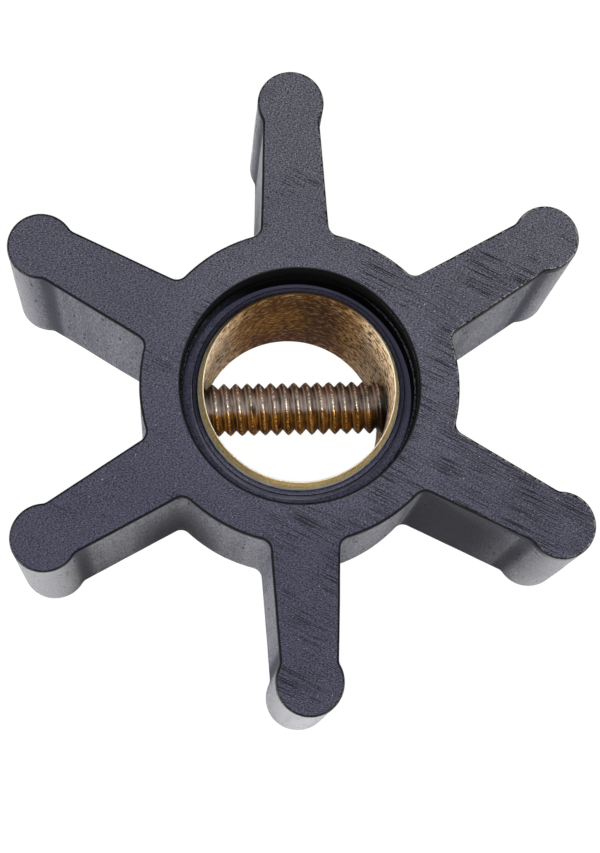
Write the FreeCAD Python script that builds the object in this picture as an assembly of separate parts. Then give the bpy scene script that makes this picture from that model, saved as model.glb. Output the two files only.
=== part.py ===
import FreeCAD, Part
import math
import os

# Rubber impeller of a flexible-vane pump, in millimetres.
# The axis is Z. The back face lies on z = 0, and the recessed front face looks up.
# Straight vanes with round tips stand out from a thick hub. A turned bush is moulded
# into the hub, and a screw across the bush's bore lets a slotted shaft turn the impeller.

# Impeller body
outer_diameter = 57.15
body_width = 19.05
vane_count = 6
first_vane_angle = 30.0
face_ring_width = 3.55
tip_radius = 2.95
vane_root_width = 6.0
vane_neck_width = 4.85
root_fillet = 1.0
neck_fillet = 1.0
edge_break = 0.12

# Recess in the front face, a groove round the collar that grips the bush
groove_width = 1.0
groove_depth = 4.3
wall_step = 0.18
wall_step_depth = 2.5
collar_wall = 0.49
collar_drop = 2.5

# Bush
bore_radius = 8.35
bush_wall = 1.85
neck_wall = 0.51
nose_wall = 0.07
nose_drop = 1.0
nose_bulge = 0.05
shoulder_cover = 0.75
bush_chamfer = 0.25

# Drive screw, at the thread's outer diameter
screw_diameter = 4.826
screw_height = 8.7
screw_end_cover = 0.675
screw_chamfer = 0.4

# Radii, worked out from the bore outwards
neck_radius = bore_radius + neck_wall
collar_radius = neck_radius + collar_wall
recess_radius = collar_radius + groove_width
hub_radius = recess_radius + face_ring_width
bush_radius = bore_radius + bush_wall
tip_centre_radius = outer_diameter / 2 - tip_radius

# Heights, worked out from the front face downwards
collar_z = body_width - collar_drop
groove_z = body_width - groove_depth
step_z = body_width - wall_step_depth
nose_z = body_width - nose_drop
shoulder_z = groove_z - shoulder_cover

AXIS = FreeCAD.Vector(0, 0, 1)
ORIGIN = FreeCAD.Vector(0, 0, 0)


def at(radius, z):
    """A point of a turned profile."""
    return FreeCAD.Vector(radius, 0, z)


def lines(points):
    """Straight edges from each point to the next."""
    return [Part.LineSegment(a, b).toShape() for a, b in zip(points, points[1:])]


def turned(edges):
    """The solid that a closed profile makes when it is turned about the axis."""
    return Part.Face(Part.Wire(edges)).revolve(ORIGIN, AXIS, 360)


def vane():
    """One vane along +X: a web that narrows to its neck, and a round tip."""
    web = Part.Face(Part.Wire(lines([
        FreeCAD.Vector(0, -vane_root_width / 2, 0),
        FreeCAD.Vector(hub_radius, -vane_root_width / 2, 0),
        FreeCAD.Vector(tip_centre_radius, -vane_neck_width / 2, 0),
        FreeCAD.Vector(tip_centre_radius, vane_neck_width / 2, 0),
        FreeCAD.Vector(hub_radius, vane_root_width / 2, 0),
        FreeCAD.Vector(0, vane_root_width / 2, 0),
        FreeCAD.Vector(0, -vane_root_width / 2, 0),
    ]))).extrude(AXIS * body_width)
    tip = Part.makeCylinder(tip_radius, body_width, FreeCAD.Vector(tip_centre_radius, 0, 0))
    return web.fuse(tip)


def upright_edges(solid, nearest, farthest):
    """The full-height edges whose distance from the axis lies between two radii."""
    found = []
    for edge in solid.Edges:
        box = edge.BoundBox
        distance = math.hypot(box.Center.x, box.Center.y)
        upright = box.XLength < 0.001 and box.YLength < 0.001 and box.ZLength > body_width / 2
        if upright and nearest < distance < farthest:
            found.append(edge)
    return found


def star():
    """The hub and its vanes, filleted at the roots and necks, with the face edges broken."""
    hub = Part.makeCylinder(hub_radius, body_width)
    vanes = []
    for number in range(vane_count):
        blade = vane()
        blade.rotate(ORIGIN, AXIS, first_vane_angle + number * 360 / vane_count)
        vanes.append(blade)
    solid = hub.multiFuse(vanes).removeSplitter()
    middle = (hub_radius + tip_centre_radius) / 2
    solid = solid.makeFillet(root_fillet, upright_edges(solid, bush_radius, middle))
    solid = solid.makeFillet(neck_fillet, upright_edges(solid, middle, tip_centre_radius))
    face_edges = [edge for edge in solid.Edges if edge.BoundBox.ZLength < 0.001]
    return solid.makeChamfer(edge_break, face_edges)


def recess():
    """The space that the front face's recess takes out, open above the collar."""
    inner_wall = recess_radius - wall_step
    return turned(lines([
        at(0, collar_z),
        at(collar_radius, collar_z),
        at(collar_radius, groove_z),
        at(inner_wall, groove_z),
        at(inner_wall, step_z),
        at(recess_radius, step_z),
        at(recess_radius, body_width - edge_break),
        at(recess_radius + edge_break, body_width),
        at(0, body_width),
        at(0, collar_z),
    ]))


def bush_seat():
    """The space that the bush fills in the rubber."""
    return turned(lines([
        at(0, 0),
        at(bush_radius, 0),
        at(bush_radius, shoulder_z),
        at(neck_radius, shoulder_z),
        at(neck_radius, collar_z),
        at(0, collar_z),
        at(0, 0),
    ]))


def impeller_body():
    """The rubber moulding."""
    return star().cut(recess()).cut(bush_seat())


def drive_screw():
    """The screw that crosses the bore, with its two ends in the bush's wall."""
    half_length = bush_radius - screw_end_cover
    radius = screw_diameter / 2
    screw = turned(lines([
        at(0, -half_length),
        at(radius - screw_chamfer, -half_length),
        at(radius, screw_chamfer - half_length),
        at(radius, half_length - screw_chamfer),
        at(radius - screw_chamfer, half_length),
        at(0, half_length),
        at(0, -half_length),
    ]))
    screw.rotate(ORIGIN, FreeCAD.Vector(0, 1, 0), 90)
    screw.translate(AXIS * screw_height)
    return screw


def bush(screw):
    """The turned bush: a plain wall, a shoulder, and a neck with a rounded nose."""
    nose_radius = bore_radius + nose_wall
    nose_middle = at((neck_radius + nose_radius) / 2 + nose_bulge, (collar_z + nose_z) / 2 + nose_bulge)
    profile = lines([
        at(nose_radius, nose_z),
        at(bore_radius, nose_z),
        at(bore_radius, bush_chamfer),
        at(bore_radius + bush_chamfer, 0),
        at(bush_radius, 0),
        at(bush_radius, shoulder_z),
        at(neck_radius, shoulder_z),
        at(neck_radius, collar_z),
    ])
    nose = Part.Arc(at(neck_radius, collar_z), nose_middle, at(nose_radius, nose_z)).toShape()
    return turned(profile + [nose]).cut(screw)


def main():
    """Write each piece to its own file."""
    os.makedirs("parts", exist_ok=True)
    screw = drive_screw()
    pieces = {
        "impeller_body": impeller_body(),
        "bush": bush(screw),
        "drive_screw": screw,
    }
    for name, shape in pieces.items():
        shape.exportStep("parts/" + name + ".step")
        print(name, "valid", shape.isValid(), "solids", len(shape.Solids), "volume", round(shape.Volume, 2))


main()
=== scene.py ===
"""A rubber pump impeller: a moulded body with six vanes, a bronze bush and a threaded drive screw.

Lengths are in millimetres, and MM turns them into Blender's metres.
The frame is the part's own: its axis is Z, and its recessed front face looks up.
"""
import math

import bmesh
import bpy
from mathutils import Matrix, Vector


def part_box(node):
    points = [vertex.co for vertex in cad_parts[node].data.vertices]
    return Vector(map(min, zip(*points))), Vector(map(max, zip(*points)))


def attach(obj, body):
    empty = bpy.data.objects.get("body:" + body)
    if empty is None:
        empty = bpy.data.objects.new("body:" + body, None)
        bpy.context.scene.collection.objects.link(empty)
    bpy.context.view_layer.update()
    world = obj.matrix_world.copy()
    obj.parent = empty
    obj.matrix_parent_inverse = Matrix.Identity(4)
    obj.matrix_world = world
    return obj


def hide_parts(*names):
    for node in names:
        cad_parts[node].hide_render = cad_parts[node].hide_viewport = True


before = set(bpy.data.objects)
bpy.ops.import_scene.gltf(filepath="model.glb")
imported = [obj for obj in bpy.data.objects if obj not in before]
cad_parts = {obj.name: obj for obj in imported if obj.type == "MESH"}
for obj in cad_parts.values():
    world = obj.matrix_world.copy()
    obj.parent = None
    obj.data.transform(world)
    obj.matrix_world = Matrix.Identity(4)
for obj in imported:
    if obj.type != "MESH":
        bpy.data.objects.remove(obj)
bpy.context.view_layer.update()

MM = 0.001
BODY_LOW, BODY_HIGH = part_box("impeller_body")
BUSH_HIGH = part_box("bush")[1]
SCREW_LOW, SCREW_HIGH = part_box("drive_screw")

# Impeller body
WIDTH = (BODY_HIGH.z - BODY_LOW.z) / MM
OUTER_RADIUS = BODY_HIGH.y / MM
VANE_COUNT = 6
FIRST_VANE_ANGLE = 30.0
FACE_RING_WIDTH = 3.55
TIP_RADIUS = 2.95
VANE_ROOT_WIDTH = 6.0
VANE_NECK_WIDTH = 4.85
ROOT_FILLET = 1.0
NECK_FILLET = 1.0
EDGE_ROUNDING = 0.2

# Recess in the front face, with its ledge, groove and collar
GROOVE_WIDTH = 1.0
GROOVE_DEPTH = 4.3
WALL_STEP = 0.18
WALL_STEP_DEPTH = 2.5
COLLAR_WALL = 0.49
COLLAR_DROP = 2.5
RECESS_ROUNDING = 0.1
LEDGE_ROUNDING = 0.05
GROOVE_ROUNDING = 0.1
COLLAR_ROUNDING = 0.06

# Bush
BUSH_RADIUS = BUSH_HIGH.x / MM
BUSH_WALL = 1.85
NECK_WALL = 0.51
NOSE_WALL = 0.07
NOSE_BULGE = 0.05
SHOULDER_COVER = 0.75
BUSH_CHAMFER = 0.25
NOSE_Z = BUSH_HIGH.z / MM

# Drive screw and its thread, whose crests are the rounder the further its flanks' power is above 1
SCREW_RADIUS = (SCREW_HIGH.z - SCREW_LOW.z) / 2 / MM
SCREW_LENGTH = (SCREW_HIGH.x - SCREW_LOW.x) / MM
SCREW_Z = (SCREW_HIGH.z + SCREW_LOW.z) / 2 / MM
THREAD_PITCH = 1.058
THREAD_DEPTH = 0.52
FLANK_POWER = 1.25
SEAT_CLEARANCE = 0.2

# Radii, heights and half a vane's angle, worked out from those sizes
BORE_RADIUS = BUSH_RADIUS - BUSH_WALL
NECK_RADIUS = BORE_RADIUS + NECK_WALL
COLLAR_RADIUS = NECK_RADIUS + COLLAR_WALL
RECESS_RADIUS = COLLAR_RADIUS + GROOVE_WIDTH
HUB_RADIUS = RECESS_RADIUS + FACE_RING_WIDTH
TIP_CENTRE_RADIUS = OUTER_RADIUS - TIP_RADIUS
COLLAR_Z = WIDTH - COLLAR_DROP
GROOVE_Z = WIDTH - GROOVE_DEPTH
STEP_Z = WIDTH - WALL_STEP_DEPTH
SHOULDER_Z = GROOVE_Z - SHOULDER_COVER
HALF_SECTOR = 180 / VANE_COUNT

# How finely the meshes are drawn: angles in degrees, and counts of rows or steps
WELD = 0.002
FACE_WEIGHT = 100
HUB_STEP = 2.5
FILLET_STEP = 9.0
TIP_STEP = 5.0
FLANK_STEPS = 10
CORNER_STEPS = 4
EDGE_STEPS = 4
VANE_COLUMNS = 10
WALL_ROWS = 8
TURN_STEPS = 180
NOSE_STEPS = 8
BORE_ROWS = 10
THREAD_STEPS = 14
SCREW_TURN_STEPS = 96

# Unevenness of the moulding outside a steady radius, and wear of the thread, each with the width of its waves
EDGE_WANDER = 0.12
WANDER_SIZE = 6.0
STEADY_RADIUS = 9.6
CREST_WEAR = 0.07
WEAR_SIZE = 0.7

# The screw's flat ends are made from spare turns of the thread past its length. Rows of them that come this
# near the axis meet in one point on it.
SPARE_TURNS = 4
END_CENTRE = 0.3

# Studio: the floor's size, its glow for the eye and in reflections, the surround, and the soft boxes,
# each with its place, its size and its power
FLOOR_SIZE = 2000.0
FLOOR_GLOW = 0.93
FLOOR_WHITE = 1.05
REFLECTED_GLOW = 0.03
SURROUND = 0.1
SOFT_BOXES = {
    "front_box": ((-42, -55, 420), 120, 1.0),
    "right_box": ((360, -150, 120), 160, 1.7),
    "left_box": ((-380, -90, 110), 160, 2.1),
}

# A narrow lamp for the recess and the bore, with the radius that it lights at the collar
SNOOT_PLACE = (200, -70, 345)
SNOOT_POWER = 2.2
SNOOT_REACH = 10.3
SNOOT_BLUR = 0.15
SNOOT_SIZE = 6.0

# Camera, placed by fitting the vane tips of both faces to the photograph
CAMERA_PLACE = (-11.97, -39.59, 201.58)
CAMERA_TARGET = (-0.144, -3.681, 19.05)
CAMERA_ROLL = -1.918
CAMERA_LENS = 129.83
CAMERA_SENSOR = 36.0


def linear(code):
    """A colour from its sRGB hex code, as the linear values that a shader takes."""
    shares = [int(code[i:i + 2], 16) / 255 for i in (1, 3, 5)]
    return [c / 12.92 if c <= 0.04045 else ((c + 0.055) / 1.055) ** 2.4 for c in shares] + [1.0]


def add(tree, kind, settings=None, inputs=None):
    """Add a node with its settings. An input is a value, a socket, or a node, for its first live output."""
    made = tree.nodes.new(kind)
    for name, value in (settings or {}).items():
        setattr(made, name, value)
    for name, value in (inputs or {}).items():
        socket = made.inputs[name]
        if isinstance(value, bpy.types.Node):
            value = next(output for output in value.outputs if output.enabled)
        if isinstance(value, bpy.types.NodeSocket):
            tree.links.new(value, socket)
        else:
            socket.default_value = value
    return made


def per_mm(size):
    """The scale of a pattern whose features are about this many millimetres wide."""
    return 1 / (size * MM)


def from_axis(tree, place):
    """The length of a vector seen from the front, which for a place is its distance from the part's axis."""
    level = add(tree, "ShaderNodeVectorMath", {"operation": "MULTIPLY"}, {0: place, 1: (1, 1, 0)})
    return add(tree, "ShaderNodeVectorMath", {"operation": "LENGTH"}, {0: level}).outputs["Value"]


def new_object(name, data):
    """An object in the scene that holds a mesh, a lamp or a camera."""
    made = bpy.data.objects.new(name, data)
    bpy.context.scene.collection.objects.link(made)
    return made


def patches_object(name, patches):
    """An object made of patches. Each is a list of rows of points in millimetres, and quads join the rows."""
    mesh = bmesh.new()
    for rows in patches:
        grid = [[mesh.verts.new([c * MM for c in point]) for point in row] for row in rows]
        for low, high in zip(grid, grid[1:]):
            for i in range(len(low) - 1):
                mesh.faces.new((low[i], low[i + 1], high[i + 1], high[i]))
    bmesh.ops.remove_doubles(mesh, verts=mesh.verts, dist=WELD * MM)
    data = bpy.data.meshes.new(name)
    mesh.to_mesh(data)
    mesh.free()
    return new_object(name, data)


def make_plain(piece):
    """Turn what a piece's modifiers make into its plain mesh."""
    graph = bpy.context.evaluated_depsgraph_get()
    data = bpy.data.meshes.new_from_object(
        piece.evaluated_get(graph), preserve_all_data_layers=True, depsgraph=graph)
    piece.modifiers.clear()
    old = piece.data
    piece.data = data
    bpy.data.meshes.remove(old)
    data.name = piece.name


def finish_shape(piece):
    """Close a piece, point its faces outwards, and shade it smooth with its flat faces kept flat."""
    mesh = bmesh.new()
    mesh.from_mesh(piece.data)
    bmesh.ops.remove_doubles(mesh, verts=mesh.verts, dist=WELD * MM)
    bmesh.ops.dissolve_degenerate(mesh, edges=mesh.edges, dist=WELD * MM)
    bmesh.ops.recalc_face_normals(mesh, faces=mesh.faces)
    for face in mesh.faces:
        face.smooth = True
    mesh.to_mesh(piece.data)
    mesh.free()
    weighted = piece.modifiers.new("flat faces stay flat", "WEIGHTED_NORMAL")
    weighted.weight = FACE_WEIGHT
    make_plain(piece)


def geometry_tree(name, sizes):
    """A geometry tree that takes a mesh and named sizes, with its input node."""
    tree = bpy.data.node_groups.new(name, "GeometryNodeTree")
    tree.interface.new_socket("Geometry", in_out="INPUT", socket_type="NodeSocketGeometry")
    tree.interface.new_socket("Geometry", in_out="OUTPUT", socket_type="NodeSocketGeometry")
    for label, value in sizes.items():
        kind = "NodeSocketInt" if isinstance(value, int) else "NodeSocketFloat"
        tree.interface.new_socket(label, in_out="INPUT", socket_type=kind)
    return tree, add(tree, "NodeGroupInput")


def run_tree(piece, tree, last, sizes):
    """End a tree at its last node, run it on a piece with these sizes, and keep the result as plain mesh."""
    add(tree, "NodeGroupOutput", None, {"Geometry": last})
    modifier = piece.modifiers.new(tree.name, "NODES")
    modifier.node_group = tree
    for socket in tree.interface.items_tree:
        if socket.name in sizes:
            modifier[socket.identifier] = sizes[socket.name]
    make_plain(piece)


def arc(centre, radius, first, last, step, hollow=False):
    """Points of an arc between two angles in degrees, each with the direction out of the rubber."""
    count = math.ceil(abs(last - first) / step)
    found = []
    for i in range(count + 1):
        angle = math.radians(first + (last - first) * i / count)
        direction = Vector((math.cos(angle), math.sin(angle)))
        found.append((centre + direction * radius, -direction if hollow else direction))
    return found


def centre_on_line(base, along, middle, reach, side):
    """The point of a line that lies at a reach from another point, on the first or the second side of it."""
    nearest = (middle - base).dot(along)
    spread = math.sqrt(reach ** 2 - (base + along * nearest - middle).length_squared)
    return base + along * (nearest + side * spread)


def half_outline():
    """Half of a vane's outline, from the middle of the pocket to the tip, and where in it the vane begins."""
    axis = Vector((0.0, 0.0))
    tip = Vector((TIP_CENTRE_RADIUS, 0.0))
    foot = Vector((HUB_RADIUS, VANE_ROOT_WIDTH / 2))
    along = (Vector((TIP_CENTRE_RADIUS, VANE_NECK_WIDTH / 2)) - foot).normalized()
    out = Vector((-along.y, along.x))
    root = centre_on_line(foot + out * ROOT_FILLET, along, axis, HUB_RADIUS + ROOT_FILLET, 1)
    neck = centre_on_line(foot + out * NECK_FILLET, along, tip, TIP_RADIUS + NECK_FILLET, -1)
    root_angle = math.degrees(math.atan2(root.y, root.x))
    flank_angle = math.degrees(math.atan2(-out.y, -out.x)) % 360
    neck_angle = math.degrees(math.atan2(neck.y, neck.x - tip.x))
    flank_start = root - out * ROOT_FILLET
    flank_end = neck - out * NECK_FILLET
    flank = [(flank_start.lerp(flank_end, i / FLANK_STEPS), out) for i in range(1, FLANK_STEPS)]
    hub = arc(axis, HUB_RADIUS, HALF_SECTOR, root_angle, HUB_STEP)
    points = hub + arc(root, ROOT_FILLET, root_angle + 180, flank_angle, FILLET_STEP, True)[1:]
    points += flank + arc(neck, NECK_FILLET, flank_angle, neck_angle + 180, FILLET_STEP, True)
    points += arc(tip, TIP_RADIUS, neck_angle, 0, TIP_STEP)[1:]
    return points, len(hub) - 1


def rounded(corners):
    """A profile from (radius, height, rounding) corners, with each rounded corner drawn as a curve."""
    points = []
    for i, (radius, height, rounding) in enumerate(corners):
        corner = Vector((radius, height))
        if rounding == 0:
            points.append(corner)
            continue
        before = (Vector(corners[i - 1][:2]) - corner).normalized()
        after = (Vector(corners[(i + 1) % len(corners)][:2]) - corner).normalized()
        points += curve(corner + before * rounding, corner, corner + after * rounding, CORNER_STEPS)
    return points


def curve(start, control, end, steps):
    """Points of a curve from a start to an end that bends towards a control point."""
    shares = [i / steps for i in range(steps + 1)]
    return [start * (1 - t) ** 2 + control * 2 * t * (1 - t) + end * t ** 2 for t in shares]


def turned_rows(profile, angles):
    """Rows of points that turn a profile of radius and height through some angles."""
    return [[(p.x * math.cos(a), p.x * math.sin(a), p.y) for a in angles] for p in profile]


def sector_patches():
    """One vane's sector of the moulding: both faces, the wall, and the recess with the bush's seat."""
    upper, vane_start = half_outline()
    lower = [(Vector((p.x, -p.y)), Vector((n.x, -n.y))) for p, n in upper]
    outline = lower + upper[::-1][1:]

    def face(inset, height):
        """The rungs across the vane, and the row along the hub that the first rung is part of."""
        low = [p - n * inset for p, n in lower]
        high = [p - n * inset for p, n in upper]
        rungs = [[a.lerp(b, i / VANE_COLUMNS) for i in range(VANE_COLUMNS + 1)] for a, b in zip(low, high)]
        hub_row = low[:vane_start] + rungs[vane_start] + high[:vane_start][::-1]
        return [[(*p, height) for p in row] for row in rungs[vane_start:]], [(*p, height) for p in hub_row]

    def edge(levels):
        """Rows round the outline, each with its inset and its height."""
        return [[(*(p - n * inset), z) for p, n in outline] for inset, z in levels]

    turns = [math.pi / 2 * i / EDGE_STEPS for i in range(EDGE_STEPS + 1)]
    quarter = [(EDGE_ROUNDING * (1 - math.sin(t)), EDGE_ROUNDING * (1 - math.cos(t))) for t in turns]
    wall = [(0.0, EDGE_ROUNDING + (WIDTH - 2 * EDGE_ROUNDING) * i / WALL_ROWS) for i in range(1, WALL_ROWS)]
    front_rungs, front_hub = face(EDGE_ROUNDING, WIDTH)
    back_rungs, back_hub = face(EDGE_ROUNDING, 0.0)
    angles = [math.atan2(p[1], p[0]) for p in front_hub]
    inner_wall = RECESS_RADIUS - WALL_STEP
    recess = rounded([
        (RECESS_RADIUS + RECESS_ROUNDING, WIDTH, 0),
        (RECESS_RADIUS, WIDTH, RECESS_ROUNDING),
        (RECESS_RADIUS, STEP_Z, LEDGE_ROUNDING),
        (inner_wall, STEP_Z, LEDGE_ROUNDING),
        (inner_wall, GROOVE_Z, GROOVE_ROUNDING),
        (COLLAR_RADIUS, GROOVE_Z, GROOVE_ROUNDING),
        (COLLAR_RADIUS, COLLAR_Z, COLLAR_ROUNDING),
        (NECK_RADIUS, COLLAR_Z, 0),
        (NECK_RADIUS, SHOULDER_Z, 0),
        (BUSH_RADIUS, SHOULDER_Z, 0),
        (BUSH_RADIUS, 0, 0),
    ])[1:]
    recess_rows = turned_rows(recess, angles)
    return [
        front_rungs,
        back_rungs,
        [recess_rows[0], front_hub],
        [recess_rows[-1], back_hub],
        edge(quarter + wall + [(inset, WIDTH - z) for inset, z in quarter[::-1]]),
        recess_rows,
    ]


def impeller_body(moulded, ground, recessed):
    """The rubber moulding: one vane's sector, repeated round the axis, with its two faces ground."""
    body = patches_object("impeller_moulding", sector_patches())
    sizes = {
        "Vane Count": VANE_COUNT,
        "First Angle": math.radians(FIRST_VANE_ANGLE),
        "Width": WIDTH * MM,
        "Wander": EDGE_WANDER * MM,
        "Steady Radius": STEADY_RADIUS * MM,
    }
    tree, given = geometry_tree("vanes round the hub", sizes)
    spots = add(tree, "GeometryNodeMeshLine", None, {
        "Count": given.outputs["Vane Count"], "Offset": (0, 0, 0)})
    share = add(tree, "ShaderNodeMath", {"operation": "DIVIDE"}, {
        0: add(tree, "GeometryNodeInputIndex"), 1: given.outputs["Vane Count"]})
    angle = add(tree, "ShaderNodeMath", {"operation": "MULTIPLY_ADD"}, {
        0: share, 1: 2 * math.pi, 2: given.outputs["First Angle"]})
    turn = add(tree, "FunctionNodeAxisAngleToRotation", None, {"Axis": (0, 0, 1), "Angle": angle})
    sectors = add(tree, "GeometryNodeInstanceOnPoints", None, {
        "Points": spots, "Instance": given.outputs["Geometry"], "Rotation": turn})
    meshed = add(tree, "GeometryNodeRealizeInstances", None, {"Geometry": sectors})
    joined = add(tree, "GeometryNodeMergeByDistance", None, {"Geometry": meshed, "Distance": WELD * MM})

    # A moulding is never quite true, so its walls wander a little sideways, but not where they hold the bush
    place = add(tree, "GeometryNodeInputPosition")
    radius = from_axis(tree, place)
    loose = add(tree, "ShaderNodeMapRange", {"interpolation_type": "SMOOTHSTEP"}, {
        "Value": radius, "From Min": given.outputs["Steady Radius"],
        "From Max": RECESS_RADIUS * MM, "To Max": given.outputs["Wander"]})
    noise = add(tree, "ShaderNodeTexNoise", None, {
        "Vector": place, "Scale": per_mm(WANDER_SIZE), "Detail": 2.0})
    centred = add(tree, "ShaderNodeVectorMath", {"operation": "SUBTRACT"}, {
        0: noise.outputs["Color"], 1: (0.5, 0.5, 0.5)})
    level = add(tree, "ShaderNodeVectorMath", {"operation": "MULTIPLY"}, {0: centred, 1: (1, 1, 0)})
    drift = add(tree, "ShaderNodeVectorMath", {"operation": "SCALE"}, {0: level, "Scale": loose})
    moved = add(tree, "GeometryNodeSetPosition", None, {"Geometry": joined, "Offset": drift})

    # The two faces are ground, the recess has never been touched, and the walls are as they were moulded
    height = add(tree, "ShaderNodeSeparateXYZ", None, {0: place})
    half = add(tree, "ShaderNodeMath", {"operation": "MULTIPLY"}, {0: given.outputs["Width"], 1: 0.5})
    depth = add(tree, "ShaderNodeMath", {"operation": "SUBTRACT"}, {0: height.outputs["Z"], 1: half})
    to_face = add(tree, "ShaderNodeMath", {"operation": "SUBTRACT"}, {
        0: half, 1: add(tree, "ShaderNodeMath", {"operation": "ABSOLUTE"}, {0: depth})})
    on_face = add(tree, "ShaderNodeMath", {"operation": "LESS_THAN"}, {0: to_face, 1: WELD * MM})
    in_recess = add(tree, "ShaderNodeMath", {"operation": "LESS_THAN"}, {
        0: radius, 1: (RECESS_RADIUS + 2 * RECESS_ROUNDING) * MM})
    walls = add(tree, "GeometryNodeSetMaterial", None, {"Geometry": moved, "Material": moulded})
    sides = add(tree, "GeometryNodeSetMaterial", None, {
        "Geometry": walls, "Selection": in_recess, "Material": recessed})
    faces = add(tree, "GeometryNodeSetMaterial", None, {
        "Geometry": sides, "Selection": on_face, "Material": ground})
    run_tree(body, tree, faces, sizes)
    finish_shape(body)
    return body


def bush(bronze):
    """The turned bush, with a rounded nose and two seats for the screw's ends."""
    start = Vector((NECK_RADIUS, COLLAR_Z))
    end = Vector((BORE_RADIUS + NOSE_WALL, NOSE_Z))
    bulge = Vector((NOSE_BULGE, NOSE_BULGE))
    nose = curve(start, (start + end) / 2 + bulge * 2, end, NOSE_STEPS)
    back = [
        (BORE_RADIUS + BUSH_CHAMFER, 0),
        (BUSH_RADIUS, 0),
        (BUSH_RADIUS, SHOULDER_Z),
        (NECK_RADIUS, SHOULDER_Z),
    ]
    front_end = Vector((BORE_RADIUS, NOSE_Z))
    back_end = Vector((BORE_RADIUS, BUSH_CHAMFER))
    bore = [front_end.lerp(back_end, i / BORE_ROWS) for i in range(BORE_ROWS + 1)]
    profile = [back_end] + [Vector(corner) for corner in back] + nose + bore
    angles = [2 * math.pi * i / TURN_STEPS for i in range(TURN_STEPS + 1)]
    made = patches_object("bronze_bush", [turned_rows(profile, angles)])

    seat_reach = SCREW_LENGTH / 2 + SEAT_CLEARANCE
    seat_radius = SCREW_RADIUS + SEAT_CLEARANCE
    rod = [(0, -seat_reach), (seat_radius, -seat_reach), (seat_radius, seat_reach), (0, seat_reach)]
    drill = patches_object("seat_drill", [turned_rows([Vector(p) for p in rod], angles[::2])])
    drill.data.transform(Matrix.Translation((0, 0, SCREW_Z * MM)) @ Matrix.Rotation(math.pi / 2, 4, "Y"))
    finish_shape(made)
    finish_shape(drill)
    cut = made.modifiers.new("seats", "BOOLEAN")
    cut.operation = "DIFFERENCE"
    cut.solver = "EXACT"
    cut.object = drill
    make_plain(made)
    bpy.data.objects.remove(drill)
    finish_shape(made)
    made.data.materials.clear()
    made.data.materials.append(bronze)
    return made


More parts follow.
